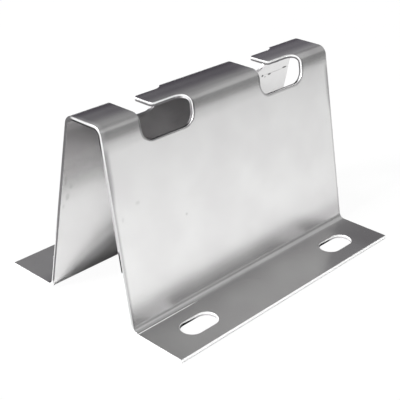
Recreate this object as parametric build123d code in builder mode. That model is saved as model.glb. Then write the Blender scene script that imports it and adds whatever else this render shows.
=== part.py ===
from build123d import *
from math import cos, radians, sin, tan
import os

# Cable tray support bracket: one steel sheet, punched flat and folded to a hat section.
# X runs along the bracket, Y across it and Z up. The origin is the middle of the
# footprint, on the undersides of the two feet. Front (-Y) and rear are alike.

# Folded section, in millimetres and degrees; the top's width is between the sharp
# corners that the outer skin would have without its folds
height = 60.0
top_width = 14.0
web_lean = 11.0
foot_width = 18.6
thickness = 1.2
fold_radius = 2.0

# Hooks for the tray's wires: a cross gap, an eye in each web and the tongue between the eyes.
# The ends are from the first gap's wall to one end of the sheet and from the last eye to the other.
hook_count = 2
hook_pitch = 50.0
hook_start = 14.2
hook_finish = 13.0
gap_width = 7.8
eye_length = 20.3
eye_width = 10.0
eye_corner = 4.0
tongue_inset = 0.6
tongue_corner = 1.2

# Oblong bolt slots in the feet, placed by their middles from the end and from the long edge
slot_length = 13.0
slot_width = 7.0
slot_from_end = 16.25
slot_from_edge = 8.8

# Rounding that the punch and the shear leave on the outer skin's edges
sheared_edge = 0.2

# Slices that carry the punched outline round a fold, and how near a point counts as on the skin
fold_slices = 12
touching = 0.01

# The folds: the web turns down from the flat top about an axis inside the sheet
outer_radius = fold_radius + thickness
neutral_radius = fold_radius + thickness / 2
fold_turn = 90.0 - web_lean
top_corner = top_width / 2
foot_corner = top_corner + (height - thickness) * tan(radians(web_lean))
foot_edge = foot_corner + foot_width
flat_half = top_corner - outer_radius * tan(radians(fold_turn / 2))
fold_end = flat_half + neutral_radius * radians(fold_turn)

# The eye's place, measured over the flat sheet from the middle of the top
eye_near = flat_half - tongue_inset
eye_middle = eye_near + eye_width / 2
eye_far = eye_near + eye_width

# Length of the sheet, and each cross gap's wall on it
sheet_length = hook_start + (hook_count - 1) * hook_pitch + eye_length + hook_finish
hook_places = [(hook_start - sheet_length / 2 + n * hook_pitch, 0, 0) for n in range(hook_count)]

# Cutters run past both skins by half the fold's inside radius
overcut = fold_radius / 2
cut_depth = thickness + overcut


def fold_plane(turned):
    """Radial plane of the front fold, with its y axis out through the sheet."""
    a = radians(turned)
    axis_point = (0, -flat_half, height - outer_radius)
    return Plane(origin=axis_point, x_dir=(1, 0, 0), z_dir=(0, -cos(a), -sin(a)))


def web_plane():
    """Outer skin of the front web, with its origin on the fold's last line and y up the web."""
    lean = radians(web_lean)
    y = -flat_half - outer_radius * cos(lean)
    z = height - outer_radius + outer_radius * sin(lean)
    return Plane(origin=(0, y, z), x_dir=(1, 0, 0), z_dir=(0, -cos(lean), sin(lean)))


# One hook's opening as it is punched in the flat sheet, from the cross gap's wall
with BuildSketch() as punch:
    with Locations((gap_width / 2, 0)):
        Rectangle(gap_width, 2 * (eye_far - eye_corner))
    with Locations((eye_length / 2, eye_middle), (eye_length / 2, -eye_middle)):
        RectangleRounded(eye_length, eye_width, eye_corner)
    tongue_end = punch.vertices().filter_by(lambda v: abs(v.X - gap_width) < tongue_corner / 2)
    fillet(tongue_end, tongue_corner)


def punch_span(distance):
    """Low and high end of the punched opening at a distance over the sheet."""
    row = Line((-eye_length, -distance), (2 * eye_length, -distance))
    span = (punch.face() & row).bounding_box()
    return span.min.X, span.max.X


# The same opening carried round the front fold, its walls square to the sheet all the way
with BuildPart() as fold_cutter:
    for step in range(fold_slices + 1):
        turned = fold_turn * step / fold_slices
        low, high = punch_span(flat_half + neutral_radius * radians(turned))
        with BuildSketch(fold_plane(turned)):
            with Locations(((low + high) / 2, neutral_radius)):
                Rectangle(high - low, thickness + 2 * overcut)
    loft()

# Down the front web, the same at the rear, and across the flat top
with BuildPart() as hook_cutter:
    with BuildSketch(web_plane()):
        with Locations((0, fold_end)):
            add(punch.sketch)
        with Locations((0, -eye_width)):
            Rectangle(4 * eye_length, 2 * eye_width, mode=Mode.INTERSECT)
    extrude(amount=cut_depth, both=True)
    add(fold_cutter.part)
    mirror(about=Plane.XZ)
    with BuildSketch(Plane.XY.offset(height)):
        add(punch.sketch)
        Rectangle(4 * eye_length, 2 * flat_half, mode=Mode.INTERSECT)
    extrude(amount=cut_depth, both=True)


def on_outer_skin(face):
    """Whether the middle of a face lies on the section's outer line."""
    middle = face.position_at(0.5, 0.5)
    return Vertex(middle.Y, middle.Z, 0).distance_to(skin) < touching


with BuildPart() as bracket:
    with BuildSketch(Plane.YZ):
        with BuildLine():
            skin = FilletPolyline(
                (-foot_edge, thickness),
                (-foot_corner, thickness),
                (-top_corner, height),
                (top_corner, height),
                (foot_corner, thickness),
                (foot_edge, thickness),
                radius=[fold_radius, outer_radius, outer_radius, fold_radius],
            )
            offset(amount=thickness, side=Side.RIGHT)
        make_face()
    extrude(amount=sheet_length / 2, both=True)

    # Punched openings
    with Locations(*hook_places):
        add(hook_cutter.part, mode=Mode.SUBTRACT)
    with BuildSketch():
        with GridLocations(sheet_length - 2 * slot_from_end, 2 * (foot_edge - slot_from_edge), 2, 2):
            SlotOverall(slot_length, slot_width)
    extrude(amount=thickness, mode=Mode.SUBTRACT)

    # An edge that only one face of the outer skin has is a rim; an edge that two have is a fold line
    skin_edges = [edge for face in bracket.faces().filter_by(on_outer_skin) for edge in face.edges()]
    rims = [edge for edge in skin_edges if skin_edges.count(edge) == 1]
    fillet(rims, sheared_edge)

bracket.part.label = "support_bracket"

os.makedirs("parts", exist_ok=True)
export_step(bracket.part, "parts/support_bracket.step")
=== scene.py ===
from functools import reduce
from math import cos, radians, tan
from operator import add, mul
from types import SimpleNamespace

import bmesh
import bpy
from mathutils import Matrix, Vector

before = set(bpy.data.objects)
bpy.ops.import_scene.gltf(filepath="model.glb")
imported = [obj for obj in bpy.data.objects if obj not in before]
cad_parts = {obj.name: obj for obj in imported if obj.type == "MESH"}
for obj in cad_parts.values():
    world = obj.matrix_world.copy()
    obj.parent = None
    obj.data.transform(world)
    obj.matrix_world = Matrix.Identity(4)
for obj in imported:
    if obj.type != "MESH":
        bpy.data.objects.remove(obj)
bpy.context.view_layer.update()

# The bracket's drawing sizes, in millimetres and degrees
HEIGHT = 60.0
TOP_WIDTH = 14.0
WEB_LEAN = 11.0
FOOT_WIDTH = 18.6
THICKNESS = 1.2
FOLD_RADIUS = 2.0
SHEET_LENGTH = 97.5
HOOK_PITCH = 50.0
HOOK_START = 14.2
GAP_WIDTH = 7.8
EYE_LENGTH = 20.3
EYE_WIDTH = 10.0
EYE_CORNER = 4.0
TONGUE_INSET = 0.6
SLOT_LENGTH = 13.0
SLOT_WIDTH = 7.0
SLOT_FROM_END = 16.25
SLOT_FROM_EDGE = 8.8
MM_PER_METRE = 1000.0

# The folded section, worked out from those sizes. Distances across the sheet are measured on the
# flat sheet from the middle of the top, so that its pattern runs round the folds as on rolled steel.
OUTER_RADIUS = FOLD_RADIUS + THICKNESS
NEUTRAL_RADIUS = FOLD_RADIUS + THICKNESS / 2
FOLD_TURN = radians(90.0 - WEB_LEAN)
FOLD_SETBACK = tan(FOLD_TURN / 2)
FLAT_HALF = TOP_WIDTH / 2 - OUTER_RADIUS * FOLD_SETBACK
UPPER_FOLD_END = FLAT_HALF + NEUTRAL_RADIUS * FOLD_TURN
WEB_SLOPE = (HEIGHT - THICKNESS) / cos(radians(WEB_LEAN))
LOWER_FOLD_START = UPPER_FOLD_END + WEB_SLOPE - (OUTER_RADIUS + FOLD_RADIUS) * FOLD_SETBACK
LOWER_FOLD_END = LOWER_FOLD_START + NEUTRAL_RADIUS * FOLD_TURN
UPPER_FOLD = (FLAT_HALF, UPPER_FOLD_END)
LOWER_FOLD = (LOWER_FOLD_START, LOWER_FOLD_END)
FOOT_CORNER = TOP_WIDTH / 2 + (HEIGHT - THICKNESS) * tan(radians(WEB_LEAN))
LOWER_CENTRE_OUT = FOOT_CORNER + FOLD_RADIUS * FOLD_SETBACK
LOWER_CENTRE_UP = THICKNESS + FOLD_RADIUS
SHEET_HALF = LOWER_FOLD_END + FOOT_CORNER + FOOT_WIDTH - LOWER_CENTRE_OUT
FIRST_HOOK = HOOK_START - SHEET_LENGTH / 2
EYE_MIDDLE = FLAT_HALF - TONGUE_INSET + EYE_WIDTH / 2
SLOT_FROM_MIDDLE = SHEET_LENGTH / 2 - SLOT_FROM_END

# A pressed fold eases into the flat sheet: how far out it reaches at the top and at the foot,
# how far into the fold, and its slopes at the fold line
EASE_OUT = 4.0
EASE_OUT_FOOT = 10.0
EASE_IN = 0.65
EASE_SLOPE = tan(radians(10.0))
EASE_SLOPE_FOOT = EASE_SLOPE / 2

# Each fold is a little rougher than the flat sheet, and so is the stretch beside it
ROUGHER_BESIDE = ((UPPER_FOLD, 6.0), (LOWER_FOLD, 10.0))

# Below, a soft patch of the sheet is given by its spans: where it starts and where it is full, and,
# in a span of four numbers, where it begins to fade and where it is gone. Spans run along the sheet,
# across it, "signed" across it with the front negative, "aslant" over it, in depth below its outer
# skin, or by the distance to an opening. Four numbers without a name are a ramp: where it starts and
# ends, and its value at each.

# The shear has rolled the outer skin over at the top's near end: where, how far in, its slope at
# the very edge and the strength of a painted highlight along it
ROLLED = dict(across=(14.0, 8.0))
ROLL_REACH = 1.8
ROLL_SLOPE = 0.09
ROLL_PAINTED_HIGHLIGHT = 0.7

# The press tool's edge has left a line in the front foot's fold, drawn in colour only: a painted
# highlight on its ridge, with painted shade in a groove beside it. Given are its place across the sheet
# and the groove's from it, the soft edge of both, where the line ends along the sheet, and how strong
# both are
CREASE = 66.9
CREASE_GROOVE = 0.4
CREASE_EDGE = (0.27, 0.135)
CREASE_END = dict(along=(-24.0, -28.0))
GROOVE_PAINTED_SHADE = 0.4
RIDGE_PAINTED_HIGHLIGHT = 0.65

# Where the foot begins across the sheet, and where the second hook's half begins along it
FOOT_BEGINS = (LOWER_FOLD_START - 1.0, LOWER_FOLD_START + 1.5)
SECOND_BEGINS = (-12.0, 8.0)

# Painted shade that darkens the skin. Of the inner patches the strongest counts, and the outer ones add
# up.
INNER_PAINTED_SHADE = (
    dict(strength=0.6, across=(59.5, 65.5), along=(-46.0, -32.0)),
    dict(strength=0.65, across=(11.0, 8.0)),
    dict(strength=0.35, signed=(-6.0, -12.0)),
    dict(strength=0.5, across=(36.0, 26.0), along=(-36.0, -30.0, 0.0, 12.0)),
)
OUTER_PAINTED_SHADE = (
    dict(strength=0.1, across=(46.0, 62.0, *FOOT_BEGINS)),
    dict(strength=0.22, across=(56.0, 62.0, *FOOT_BEGINS)),
    dict(strength=0.07, across=(22.0, 40.0), along=(0.0, 45.0)),
    dict(strength=0.12, across=(3.0, 6.0, 11.5, 14.0), along=(35.0, 10.0)),
    dict(strength=0.2, across=(3.5, 5.0, 7.0, 9.0), along=(34.0, 44.0)),
    dict(strength=0.25, across=(66.0, 70.0), along=(34.0, 42.0)),
)

# One more painted shade on the inner skin fades down the web, sooner at the second hook: its strength at
# the top and below, and where it fades at the first hook and at the second
FADING_PAINTED_SHADE = (0.36, 0.04)
FADE_AT_FIRST = (10.0, 28.0)
FADE_AT_SECOND = (6.0, 13.0)

# Painted light: a painted reflection in a band aslant over the rear web's inner side, and painted
# highlights on the front foot and the far top
BAND_SLANT = 0.5
BAND = dict(aslant=(37.0, 41.0, 44.0, 47.0), along=(-12.0, -22.0))
BAND_BRIGHTENS = (-46.0, -36.0, 0.5, 0.9)
FOOT_PAINTED_HIGHLIGHT = dict(strength=0.4, along=(0.0, -42.0))
TOP_PAINTED_HIGHLIGHT = dict(strength=0.8, across=(5.5, 3.5), along=(8.0, 25.0))

# Small marks on the skin: along the sheet, signed across it, half length, half width and strength.
# Their soft edge is given as a share of those halves.
DARK_MARKS = (
    (-40.0, -29.2, 1.0, 0.6, 0.12), (-22.5, -38.7, 0.55, 0.5, 0.2), (-2.0, -71.8, 0.5, 0.35, 0.3),
    (-46.1, -32.2, 0.5, 0.8, 0.1), (-47.6, 27.0, 0.6, 2.0, 0.14), (-45.4, 29.8, 0.7, 0.9, 0.13),
    (-46.4, 33.0, 0.8, 1.4, 0.16), (-47.6, 35.9, 0.5, 1.0, 0.12),
    (35.2, 15.9, 0.55, 0.45, 0.9), (36.7, 16.6, 0.4, 0.3, 0.6), (38.8, 16.1, 0.9, 0.4, 0.85),
    (46.5, 15.5, 1.3, 0.35, 0.9), (41.0, 15.8, 5.5, 0.15, 0.4),
)
MARK_EDGE = (1.2, 0.5)

# Painted shade in rims where the outer skin rolls into the sheared ends: how far in it is full, and
# how its reach and its strength shrink down the web
END_RIM = dict(across=(9.0, 14.0))
END_RIM_FULL = 0.3
END_RIM_REACH = (20.0, 30.0, 2.2, 1.1)
END_RIM_STRENGTH = (22.0, 30.0, 0.65, 0.45)

# The same round the hooks' openings: its edge, its strength at the first hook and at the second, and
# how it narrows under the first hook's eye
HOOK_RIM = dict(across=(6.0, 9.0))
HOOK_RIM_EDGE = (0.9, 0.5)
HOOK_RIM_STRENGTH = (0.7, 0.5)
HOOK_RIM_NARROWS = dict(strength=0.3, across=(12.5, 13.5))

# Depths below the outer skin: where a cut face begins and ends, and how sharply a wall turns torn
CUT_TOP = 0.06
CUT_BOTTOM = THICKNESS - 0.02
TEAR = 0.12

# The front's sheared ends are slid above and torn below; the torn part is black high on the web,
# partly the torn band and partly painted shade. The slid part wears and the torn part clears in two
# steps down the web, but for one short stretch of painted shade.
END_TORN = dict(depth=(0.55, 0.8))
SLID_WEARS = dict(across=(12.0, 20.0))
TORN_DULLS = dict(across=(9.0, 20.0))
TORN_BRIGHTENS = dict(across=(35.0, 50.0))
SHADE_STRETCH = dict(across=(40.4, 41.4, 46.6, 47.4), depth=(0.6, 0.75))

# The rear's sheared ends are dark, with a thin bright line low on the web
REAR_BEGINS = dict(signed=(FLAT_HALF - 0.5, FLAT_HALF + 1.0))
REAR_PALES = dict(across=(15.0, 30.0))
REAR_LINE = dict(across=(35.0, 55.0), depth=(0.45, 0.3))

# The hooks' walls: the depths at which they turn torn at the first hook and at the second, where
# the first hook's are rubbed and where a line scores them
WALL_TORN = (0.5, 0.6)
FLOOR_TORN = (0.28, 0.35)
EYE_FLOOR = dict(across=(EYE_MIDDLE + 4.2, EYE_MIDDLE + 4.8))
REAR_FLOOR = dict(signed=(0.0, 1.0))
WALL_RUBBED = dict(across=(3.5, 9.0), depth=(0.15, 0.4))
WALL_SCORED = dict(signed=(-4.2, -5.2))
SCORE = dict(strength=0.8, across=(6.5, 9.0))
SCORE_DEPTH = 0.65
SCORE_EDGE = (0.3, 0.1)

# The slots' walls, by the distance from a slot's middle to its far end: how deep they are slid, and
# where the torn part clears
SLOT_SLID = (-SLOT_LENGTH / 2, 2.0, 0.15, 0.55)
SLOT_CLEARS = (0.5, 3.0)

# The skin's noises: scale, detail and roughness. The grain is stretched to fine rolling lines.
CLOUDS = (0.055, 3.0, 0.5)
CLOUD_EDGES = (0.3, 0.7)
MOTTLE = (0.5, 2.0, 0.55)
MOTTLE_SHADE = 0.03
MOTTLE_HEIGHT = 0.005
GRAIN = (1.0, 3.0, 0.6)
GRAIN_STRETCH = (0.1, 1.4, 1.0)
GRAIN_SHADE = 0.04
GRAIN_HEIGHT = 0.0015

# Tones of the skin and of the cut faces
SKIN_GREY = (0.67, 0.665, 0.665, 1.0)
SKIN_PALE = (0.735, 0.735, 0.73, 1.0)
SKIN_SHADE = (0.35, 0.345, 0.34, 1.0)
# Tone of the painted shade on the skin
PAINTED_SHADE_TONE = (0.165, 0.148, 0.16, 1.0)
# Tone of the painted shade in the rims
RIM_PAINTED_SHADE = (0.2, 0.195, 0.2, 1.0)
BRIGHT_CUT = (0.93, 0.93, 0.93, 1.0)
SLID_CUT = (0.72, 0.72, 0.72, 1.0)
WORN_CUT = (0.58, 0.58, 0.58, 1.0)
DULL_CUT = (0.5, 0.49, 0.5, 1.0)
RUBBED_CUT = (0.38, 0.37, 0.38, 1.0)
DARK_CUT = (0.17, 0.165, 0.17, 1.0)
# Darkest cut tone, at the rear sheared ends' top and, as painted shade, on the first hook's rear eye
# floor
DARKEST_CUT = (0.12, 0.117, 0.12, 1.0)
# Near black: the cut faces' darkest parts, partly painted shade, and the small dark marks
NEAR_BLACK = (0.02, 0.018, 0.02, 1.0)

# Roughness: the skin's least and most, and what the clouds, the grain, the folds, the cuts, the
# crease and the slots' rims add to it
SKIN_ROUGH = 0.15
SKIN_ROUGHEST = 0.268
CLOUDS_ROUGHEN = 0.06
GRAIN_ROUGHENS = 0.05
FOLDS_ROUGHEN = 0.1
CUTS_ROUGHEN = 0.2
CREASE_ROUGHENS = 0.3
SLOT_RIM = dict(strength=0.2, opening=(0.22, 0.18))

# How far the hooks' walls and the crease's ridge are from plain metal
WALL_UNMETALLIC = 0.25
RIDGE_UNMETALLIC = 0.3

# Studio: the floor's and the room's greys, and how far both are lifted to white for the camera
# and in reflections
FLOOR_GREY = (0.75, 0.75, 0.75, 1.0)
FLOOR_ROUGHNESS = 0.9
FLOOR_HALF = 6.0
ROOM_FRONT = (0.31, 0.31, 0.31, 1.0)
ROOM_DARK = (0.03, 0.021, 0.04, 1.0)
ROOM_BACK = (0.44, 0.44, 0.44, 1.0)
WHITE = (1.0, 1.0, 1.0, 1.0)
LIFT_SEEN = 0.965
LIFT_REFLECTED = 0.02

# The room by direction: where its front passes into its back, and the height at which the back
# passes from dark to grey, which falls towards the rear and, in one step, on the right
BACK_BEGINS = (-0.45, 0.35)
BACK_PALES = (0.40, 0.90)
BACK_TILT = 0.25
RIGHT_RAISED = (0.69, 0.76, 0.0, 0.09)

# The photograph's camera, fitted to the bracket's edges in it, in metres
LENS = 87.84
SENSOR_WIDTH = 36.0
CLIP = (0.01, 50.0)
CAMERA_PLACE = (-0.202423, -0.187683, 0.158802)
CAMERA_RIGHT = (0.68831, -0.72535, 0.00952)
CAMERA_UP = (0.3223, 0.31755, 0.89179)
CAMERA_BACK = (-0.64988, -0.61076, 0.45235)

# Middle of the bracket, which the lamps face
LAMP_AIM = (0.0, 0.0, 0.03)


# Shader node helpers

class Wire:
    """An output of a node in a shader's tree. Arithmetic with it adds maths nodes to the tree."""

    def __init__(self, tree, socket):
        self.tree = tree
        self.socket = socket

    def __add__(self, other):
        return maths("ADD", self, other)

    def __sub__(self, other):
        return maths("SUBTRACT", self, other)

    def __rsub__(self, other):
        return maths("SUBTRACT", other, self)

    def __mul__(self, other):
        return maths("MULTIPLY", self, other)

    def __truediv__(self, other):
        return maths("DIVIDE", self, other)

    def __abs__(self):
        return maths("ABSOLUTE", self)


def feed(value, socket):
    """Link a wire to a socket, or set the socket to a plain value."""
    if isinstance(value, Wire):
        value.tree.links.new(value.socket, socket)
    else:
        socket.default_value = value


def add_node(kind, values, sockets, output, **settings):
    """Add a node to the tree of its wired values, feed its sockets and return one output."""
    tree = next(value.tree for value in values if isinstance(value, Wire))
    node = tree.nodes.new(kind)
    for name, setting in settings.items():
        setattr(node, name, setting)
    for value, socket in zip(values, sockets):
        feed(value, node.inputs[socket])
    return Wire(tree, node.outputs[output])


def maths(operation, *values):
    return add_node("ShaderNodeMath", values, range(len(values)), "Value", operation=operation)


def smaller(first, second):
    return maths("MINIMUM", first, second)


def larger(first, second):
    return maths("MAXIMUM", first, second)


def is_less(first, second):
    """1 where the first is less than the second, otherwise 0."""
    return maths("LESS_THAN", first, second)


def vector_maths(operation, output, *values):
    return add_node("ShaderNodeVectorMath", values, range(len(values)), output, operation=operation)


def joined(x, y, z):
    return add_node("ShaderNodeCombineXYZ", (x, y, z), "XYZ", "Vector")


def split(vector):
    node = vector.tree.nodes.new("ShaderNodeSeparateXYZ")
    feed(vector, node.inputs["Vector"])
    return [Wire(vector.tree, node.outputs[axis]) for axis in "XYZ"]


def ramp(value, start, full, at_start=0.0, at_full=1.0, kind="SMOOTHSTEP"):
    """Smooth step of a value from one range to another. It falls where the start is the larger."""
    return add_node("ShaderNodeMapRange", (value, start, full, at_start, at_full),
                    ("Value", "From Min", "From Max", "To Min", "To Max"), "Result",
                    interpolation_type=kind)


def between(share, first, second):
    """The first number where the share is 0 and the second where it is 1."""
    return maths("MULTIPLY_ADD", share, second - first, first)


def blended(share, first, second):
    """Mix of two colours, whose sockets on the mix node come after those for numbers and vectors."""
    return add_node("ShaderNodeMix", (share, first, second), (0, 6, 7), 2, data_type="RGBA")


def noise(vector, scale, detail, roughness):
    return add_node("ShaderNodeTexNoise", (vector, scale, detail, roughness),
                    ("Vector", "Scale", "Detail", "Roughness"), "Fac")


def shader_group(name, inputs, outputs, workings, input_kind="NodeSocketFloat"):
    """A shader group whose outputs a function works out from its inputs."""
    group = bpy.data.node_groups.new(name, "ShaderNodeTree")
    for socket in inputs:
        group.interface.new_socket(name=socket, in_out="INPUT", socket_type=input_kind)
    for socket in outputs:
        group.interface.new_socket(name=socket, in_out="OUTPUT", socket_type="NodeSocketFloat")
    given = group.nodes.new("NodeGroupInput")
    made = group.nodes.new("NodeGroupOutput")
    results = workings(*(Wire(group, given.outputs[socket]) for socket in inputs))
    for socket, result in zip(outputs, results):
        feed(result, made.inputs[socket])
    return group


def placed(group, *values):
    """Place a group in the tree of its wired values, and return its outputs in order."""
    tree = values[0].tree
    node = tree.nodes.new("ShaderNodeGroup")
    node.node_tree = group
    for value, socket in zip(values, node.inputs):
        feed(value, socket)
    return [Wire(tree, output) for output in node.outputs]


# Where a point of the folded bracket lies on its flat sheet

def turn_about_fold(across, up):
    """Turn about a fold's centre, and the distances out from it and on along the sheet."""
    turned = smaller(larger(maths("ARCTAN2", across, up), 0.0), FOLD_TURN)
    sine, cosine = maths("SINE", turned), maths("COSINE", turned)
    return turned, across * sine + up * cosine, across * cosine - up * sine


def place_on_sheet(position):
    """Millimetres along the sheet, across it and below its outer skin, and its side: front -1, rear 1."""
    x, y, z = split(vector_maths("MULTIPLY", "Vector", position, (MM_PER_METRE,) * 3))
    half = abs(y)
    fold = shader_group("Fold", ("Across", "Up"), ("Turned", "Radial", "Along"), turn_about_fold)

    turned, radial, on = placed(fold, half - FLAT_HALF, z - (HEIGHT - OUTER_RADIUS))
    upper_across = turned * NEUTRAL_RADIUS + FLAT_HALF + on
    upper_depth = OUTER_RADIUS - radial

    turned, radial, on = placed(fold, LOWER_CENTRE_OUT - half, LOWER_CENTRE_UP - z)
    lower_across = LOWER_FOLD_END - turned * NEUTRAL_RADIUS - on
    lower_depth = radial - FOLD_RADIUS

    in_upper = is_less(HEIGHT / 2, z)
    return (x, between(in_upper, lower_across, upper_across),
            between(in_upper, lower_depth, upper_depth), maths("SIGN", y))


def box_distance(x, y, half_x, half_y, corner):
    """Distance outside a rounded rectangle, from the distances to its two middle lines."""
    over_x = larger(x - (half_x - corner), 0.0)
    over_y = larger(y - (half_y - corner), 0.0)
    return vector_maths("LENGTH", "Value", joined(over_x, over_y, 0.0)) - corner


def distances_to_cuts(along, across):
    """Distances over the sheet to its sheared outline and to its punched openings, in millimetres."""
    from_middle = abs(along)
    to_side = SHEET_HALF - across
    outline = smaller(SHEET_LENGTH / 2 - from_middle, to_side)

    pitch_start = (EYE_LENGTH - HOOK_PITCH) / 2
    in_pitch = maths("WRAP", along - FIRST_HOOK, pitch_start + HOOK_PITCH, pitch_start)
    eye = box_distance(abs(in_pitch - EYE_LENGTH / 2), abs(across - EYE_MIDDLE),
                       EYE_LENGTH / 2, EYE_WIDTH / 2, EYE_CORNER)
    gap = box_distance(abs(in_pitch - GAP_WIDTH / 2), across, GAP_WIDTH / 2, EYE_MIDDLE, 0.0)
    slot = box_distance(abs(from_middle - SLOT_FROM_MIDDLE), abs(to_side - SLOT_FROM_EDGE),
                        SLOT_LENGTH / 2, SLOT_WIDTH / 2, SLOT_WIDTH / 2)
    return outline, smaller(smaller(eye, gap), slot)


def outside_fold(across, fold):
    """Distance over the sheet to a fold from outside it, negative within it."""
    start, end = fold
    return larger(start - across, across - end)


def share_beside_folds(across):
    """1 on a fold, falling to 0 over the stretch beside it."""
    shares = [ramp(outside_fold(across, fold), reach, 0.0) for fold, reach in ROUGHER_BESIDE]
    return (larger(*shares),)


def eased(across, fold, reach, slope):
    """Height of a rise to one fold: steepest at the fold line, fading outside it and a little way in."""
    outside = outside_fold(across, fold)
    run_out = ramp(outside, reach, 0.0, kind="LINEAR")
    run_in = ramp(outside, -EASE_IN, 0.0, kind="LINEAR")
    return maths("POWER", run_out, 3.0) * (slope * reach / 3) - run_in * run_in * (slope * EASE_IN / 2)


def fold_easing(across, depth):
    """Height of the sheet's easing into both folds, in millimetres off the skin."""
    upper = eased(across, UPPER_FOLD, EASE_OUT, EASE_SLOPE)
    lower = eased(across, LOWER_FOLD, EASE_OUT_FOOT, EASE_SLOPE_FOOT)
    return ((lower - upper) * maths("SIGN", THICKNESS / 2 - depth),)


# What is known of a shaded point

def patch(at, strength=1.0, **spans):
    """Share of a soft patch of the sheet, from its spans of two or four numbers."""
    shares = []
    for name, span in spans.items():
        value = getattr(at, name)
        shares.append(ramp(value, *span[:2]))
        if len(span) == 4:
            shares.append(ramp(value, span[3], span[2]))
    return reduce(mul, shares) * strength


def crease_shares(at):
    """Where the groove and the ridge of the crease in the front foot's fold lie."""
    from_crease = at.signed + CREASE
    reach = patch(at, **CREASE_END)
    return [ramp(abs(away), *CREASE_EDGE) * reach for away in (from_crease - CREASE_GROOVE, from_crease)]


def skin_noises(at):
    """The skin's soft clouds, its small mottle and its fine rolling lines."""
    flat = joined(at.along, at.signed, at.depth)
    stretched = vector_maths("MULTIPLY", "Vector", flat, GRAIN_STRETCH)
    return noise(flat, *CLOUDS), noise(flat, *MOTTLE), noise(stretched, *GRAIN)


def shaded_point(tree):
    """Where a shaded point lies on the flat sheet, and what is there."""
    flat_sheet = shader_group("Flat sheet", ("Position",), ("Along", "Across", "Depth", "Side"),
                              place_on_sheet, input_kind="NodeSocketVector")
    to_cuts = shader_group("Distance to a cut edge", ("Along", "Across"), ("Outline", "Opening"),
                           distances_to_cuts)
    at = SimpleNamespace()
    position = Wire(tree, tree.nodes.new("ShaderNodeTexCoord").outputs["Object"])
    at.along, at.across, at.depth, side = placed(flat_sheet, position)
    at.signed = at.across * side
    at.aslant = at.along * BAND_SLANT + at.signed
    at.outline, at.opening = placed(to_cuts, at.along, at.across)

    at.outer = is_less(at.depth, THICKNESS / 2)
    at.inner = 1.0 - at.outer
    at.foot = ramp(at.across, *FOOT_BEGINS)
    at.second = ramp(at.along, *SECOND_BEGINS)
    at.cut = is_less(CUT_TOP, at.depth) * is_less(at.depth, CUT_BOTTOM)
    at.punched = at.cut * (1.0 - is_less(at.outline, at.opening))
    at.groove, at.ridge = crease_shares(at)

    at.near_end = ramp(at.outline, ROLL_REACH, 0.0, kind="LINEAR")
    at.rolled = patch(at, **ROLLED) * is_less(at.along, 0.0) * at.outer
    at.clouds, at.mottle, at.grain = skin_noises(at)
    return at


# The steel's colours

def painted_shade_share(at):
    """How much of the skin's tone the painted shade on either skin takes."""
    fade_from = between(at.second, FADE_AT_FIRST[0], FADE_AT_SECOND[0])
    fade_to = between(at.second, FADE_AT_FIRST[1], FADE_AT_SECOND[1])
    fading = ramp(at.across, fade_from, fade_to, *FADING_PAINTED_SHADE)
    inner = reduce(larger, (patch(at, **shade_patch) for shade_patch in INNER_PAINTED_SHADE), fading)
    outer = reduce(add, (patch(at, **shade_patch) for shade_patch in OUTER_PAINTED_SHADE))
    return between(at.inner, outer, inner)


def painted_highlight_shares(at):
    """Where the inner skin's band carries a painted reflection and the outer skin's places painted
    highlights.
    """
    band = patch(at, **BAND) * ramp(at.along, *BAND_BRIGHTENS) * at.inner
    foot = patch(at, **FOOT_PAINTED_HIGHLIGHT) * is_less(at.signed, 0.0) * at.foot
    return band, larger(foot, patch(at, **TOP_PAINTED_HIGHLIGHT)) * at.outer


def mark_share(at):
    """Strength of the small marks, which show on the front's outer skin and the rear's inner skin."""
    strongest = 0.0
    for along, signed, half_length, half_width, strength in DARK_MARKS:
        away = joined((at.along - along) / half_length, (at.signed - signed) / half_width, 0.0)
        mark = ramp(vector_maths("LENGTH", "Value", away), *MARK_EDGE) * strength
        strongest = larger(mark, strongest)
    return strongest * between(is_less(0.0, at.signed), at.outer, at.inner)


def rim_painted_shade_share(at):
    """Painted shade in a rim where the outer skin rolls into the sheared ends and the hooks' openings."""
    end = ramp(at.outline, ramp(at.across, *END_RIM_REACH), END_RIM_FULL)
    end *= patch(at, **END_RIM) * ramp(at.across, *END_RIM_STRENGTH)
    narrowed = patch(at, **HOOK_RIM_NARROWS) * (1.0 - at.second)
    hook = ramp(at.opening + narrowed, *HOOK_RIM_EDGE)
    hook *= patch(at, **HOOK_RIM) * between(at.second, *HOOK_RIM_STRENGTH)
    return larger(end, hook) * at.outer * (1.0 - at.foot)


def skin_colour(at):
    """Satin skin: soft clouds and fine rolling lines, and over them painted shade, painted highlights,
    small dark marks and the press's crease.
    """
    skin = blended(ramp(at.clouds, *CLOUD_EDGES), SKIN_GREY, SKIN_PALE)
    skin = blended(at.mottle * MOTTLE_SHADE + at.grain * GRAIN_SHADE, skin, SKIN_SHADE)
    band, highlights = painted_highlight_shares(at)
    layers = (
        # painted reflection in a band on the rear web's inner side
        (band, BRIGHT_CUT),
        # painted shade
        (painted_shade_share(at), PAINTED_SHADE_TONE),
        # painted highlights on the front foot and the far top
        (highlights, BRIGHT_CUT),
        (mark_share(at), NEAR_BLACK),
        # painted highlight on the rolled near end
        (at.near_end * at.rolled * ROLL_PAINTED_HIGHLIGHT, BRIGHT_CUT),
        # painted shade in the crease's groove
        (at.groove * GROOVE_PAINTED_SHADE, DARK_CUT),
        # painted highlight on the crease's ridge
        (at.ridge * RIDGE_PAINTED_HIGHLIGHT, BRIGHT_CUT),
        # painted shade in the rims
        (rim_painted_shade_share(at), RIM_PAINTED_SHADE),
    )
    for share, tone in layers:
        skin = blended(share, skin, tone)
    return skin


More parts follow.
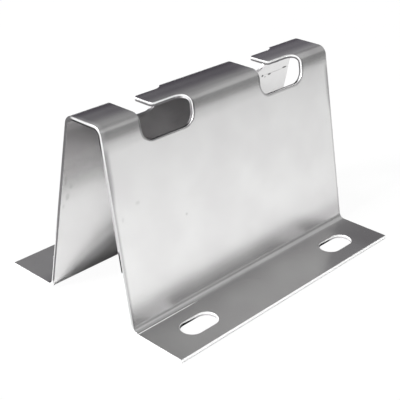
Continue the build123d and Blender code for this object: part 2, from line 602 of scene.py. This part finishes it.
def sheared_face_colour(at):
    """The sheet's sheared ends, bright round the foot. The front's black torn part is partly the torn
    band and partly painted shade.
    """
    slid = blended(patch(at, **SLID_WEARS), SLID_CUT, WORN_CUT)
    torn = blended(patch(at, **TORN_DULLS), NEAR_BLACK, DULL_CUT)
    torn = blended(patch(at, **TORN_BRIGHTENS), torn, BRIGHT_CUT)
    front = blended(patch(at, **END_TORN), slid, torn)
    # a short stretch of painted shade
    front = blended(patch(at, **SHADE_STRETCH), front, NEAR_BLACK)

    rear = blended(patch(at, **REAR_PALES), DARKEST_CUT, DARK_CUT)
    rear = blended(patch(at, **REAR_LINE), rear, BRIGHT_CUT)
    colour = blended(patch(at, **REAR_BEGINS), front, rear)
    return blended(at.foot, colour, BRIGHT_CUT)


def torn_below(at, start, slid, torn):
    """A punched wall: slid down to a depth and torn below it."""
    return blended(ramp(at.depth - start, 0.0, TEAR), slid, torn)


def eye_floor_colour(at):
    """The lowest side of a hook's eye: slid and then black at the front, the black being painted shade;
    at the rear one plain tone, painted shade at the first hook.
    """
    slid = blended(at.second, DULL_CUT, BRIGHT_CUT)
    front = torn_below(at, between(at.second, *FLOOR_TORN), slid, NEAR_BLACK)
    rear = blended(at.second, DARKEST_CUT, DULL_CUT)
    return blended(patch(at, **REAR_FLOOR), front, rear)


def eye_wall_colour(at):
    """A hook's walls: slid and then torn, but scored by a line at the first hook's front."""
    first = 1.0 - at.second
    slid = blended(patch(at, **WALL_RUBBED) * first, BRIGHT_CUT, RUBBED_CUT)
    torn = torn_below(at, between(at.second, *WALL_TORN), slid, DARK_CUT)
    score = ramp(abs(at.depth - SCORE_DEPTH), *SCORE_EDGE) * patch(at, **SCORE)
    scored = blended(score, slid, DARK_CUT)
    wall = blended(patch(at, **WALL_SCORED) * first, torn, scored)
    return blended(patch(at, **EYE_FLOOR), wall, eye_floor_colour(at))


def slot_wall_colour(at):
    """A slot's wall: torn most, and black, at its end towards the near end."""
    from_middle = at.along - maths("SIGN", at.along) * SLOT_FROM_MIDDLE
    torn = blended(ramp(from_middle, *SLOT_CLEARS), NEAR_BLACK, DULL_CUT)
    return torn_below(at, ramp(from_middle, *SLOT_SLID), BRIGHT_CUT, torn)


# The steel's gloss and relief

def roughness(at):
    group = shader_group("Beside a fold", ("Across",), ("Share",), share_beside_folds)
    (beside_folds,) = placed(group, at.across)
    skin = at.clouds * CLOUDS_ROUGHEN + at.grain * GRAIN_ROUGHENS + beside_folds * FOLDS_ROUGHEN
    skin = smaller(skin + SKIN_ROUGH, SKIN_ROUGHEST)
    return skin + at.cut * CUTS_ROUGHEN + at.ridge * CREASE_ROUGHENS + patch(at, **SLOT_RIM) * at.foot


def normal(at):
    """Bumps: the folds' easing, the skin's texture and the outer skin's roll at the near end."""
    group = shader_group("Easing into a fold", ("Across", "Depth"), ("Height",), fold_easing)
    (easing,) = placed(group, at.across, at.depth)
    texture = at.grain * GRAIN_HEIGHT + at.mottle * MOTTLE_HEIGHT
    roll = at.near_end * at.near_end * at.rolled * (-ROLL_SLOPE * ROLL_REACH / 2)
    return add_node("ShaderNodeBump", (easing + texture + roll, 1.0, 1 / MM_PER_METRE),
                    ("Height", "Strength", "Distance"), "Normal")


def satin_steel():
    """Cold-rolled sheet with a satin skin, sheared edges and small dark marks, its colour carrying
    painted shade and painted highlights.
    """
    material = bpy.data.materials.new("satin_sheet_steel")
    material.use_nodes = True
    tree = material.node_tree
    shader = tree.nodes["Principled BSDF"].inputs
    at = shaded_point(tree)
    colour = blended(at.cut, skin_colour(at), sheared_face_colour(at))
    wall = blended(at.foot, eye_wall_colour(at), slot_wall_colour(at))
    unmetallic = larger((1.0 - at.foot) * at.punched * WALL_UNMETALLIC, at.ridge * RIDGE_UNMETALLIC)
    feed(blended(at.punched, colour, wall), shader["Base Color"])
    feed(roughness(at), shader["Roughness"])
    feed(1.0 - unmetallic, shader["Metallic"])
    feed(normal(at), shader["Normal"])
    return material


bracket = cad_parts["support_bracket"]
bracket.data.materials.clear()
bracket.data.materials.append(satin_steel())


# Studio: a pale floor, soft lamps, a grey room and the camera

def shown_white(tree):
    """How far the floor or the room is lifted to white: nearly all the way where it shows itself."""
    path = tree.nodes.new("ShaderNodeLightPath").outputs
    seen = Wire(tree, path["Is Camera Ray"]) + Wire(tree, path["Is Transmission Ray"])
    return seen * LIFT_SEEN + Wire(tree, path["Is Glossy Ray"]) * LIFT_REFLECTED


def pale_floor():
    """Matt white floor, which keeps a light shadow."""
    material = bpy.data.materials.new("studio_floor")
    material.use_nodes = True
    tree = material.node_tree
    shader = tree.nodes["Principled BSDF"]
    shader.inputs["Base Color"].default_value = FLOOR_GREY
    shader.inputs["Roughness"].default_value = FLOOR_ROUGHNESS
    shader.inputs["Specular IOR Level"].default_value = 0.0
    glow = tree.nodes.new("ShaderNodeEmission")
    glow.inputs["Color"].default_value = WHITE
    surfaces = (shown_white(tree), Wire(tree, shader.outputs[0]), Wire(tree, glow.outputs[0]))
    mix = add_node("ShaderNodeMixShader", surfaces, range(3), 0)
    feed(mix, tree.nodes["Material Output"].inputs["Surface"])
    return material


def add_floor():
    shape = bmesh.new()
    bmesh.ops.create_grid(shape, x_segments=1, y_segments=1, size=FLOOR_HALF)
    mesh = bpy.data.meshes.new("floor")
    shape.to_mesh(mesh)
    shape.free()
    mesh.materials.append(pale_floor())
    floor = bpy.data.objects.new("floor", mesh)
    bpy.context.scene.collection.objects.link(floor)


def add_room():
    """A dim grey room, darkest low down behind the bracket, that shows as white."""
    world = bpy.data.worlds.new("studio")
    bpy.context.scene.world = world
    world.use_nodes = True
    tree = world.node_tree
    x, y, z = split(Wire(tree, tree.nodes.new("ShaderNodeTexCoord").outputs["Generated"]))
    height = y * BACK_TILT + z + ramp(x, *RIGHT_RAISED)
    back = blended(ramp(height, *BACK_PALES), ROOM_DARK, ROOM_BACK)
    grey = blended(ramp(y, *BACK_BEGINS), ROOM_FRONT, back)
    feed(blended(shown_white(tree), grey, WHITE), tree.nodes["Background"].inputs["Color"])


def add_lamp(name, place, power, size):
    """Soft lamp at a place, facing the bracket."""
    data = bpy.data.lights.new(name, "AREA")
    data.shape = "RECTANGLE"
    data.size, data.size_y = size
    data.energy = power
    lamp = bpy.data.objects.new(name, data)
    lamp.location = place
    lamp.rotation_euler = (Vector(LAMP_AIM) - Vector(place)).to_track_quat("-Z", "Y").to_euler()
    bpy.context.scene.collection.objects.link(lamp)


def add_camera():
    data = bpy.data.cameras.new("camera")
    data.lens = LENS
    data.sensor_width = SENSOR_WIDTH
    data.clip_start, data.clip_end = CLIP
    camera = bpy.data.objects.new("camera", data)
    turn = Matrix((CAMERA_RIGHT, CAMERA_UP, CAMERA_BACK)).transposed().to_4x4()
    camera.matrix_world = Matrix.Translation(CAMERA_PLACE) @ turn
    bpy.context.scene.collection.objects.link(camera)
    bpy.context.scene.camera = camera


add_floor()
add_room()
add_lamp("key", place=(-1.99, 0.38, 2.0), power=150.0, size=(0.5, 0.5))
add_lamp("side", place=(0.80, -0.325, 0.68), power=0.55, size=(1.27, 0.43))
add_camera()

view = bpy.context.scene.view_settings
view.view_transform = "Standard"
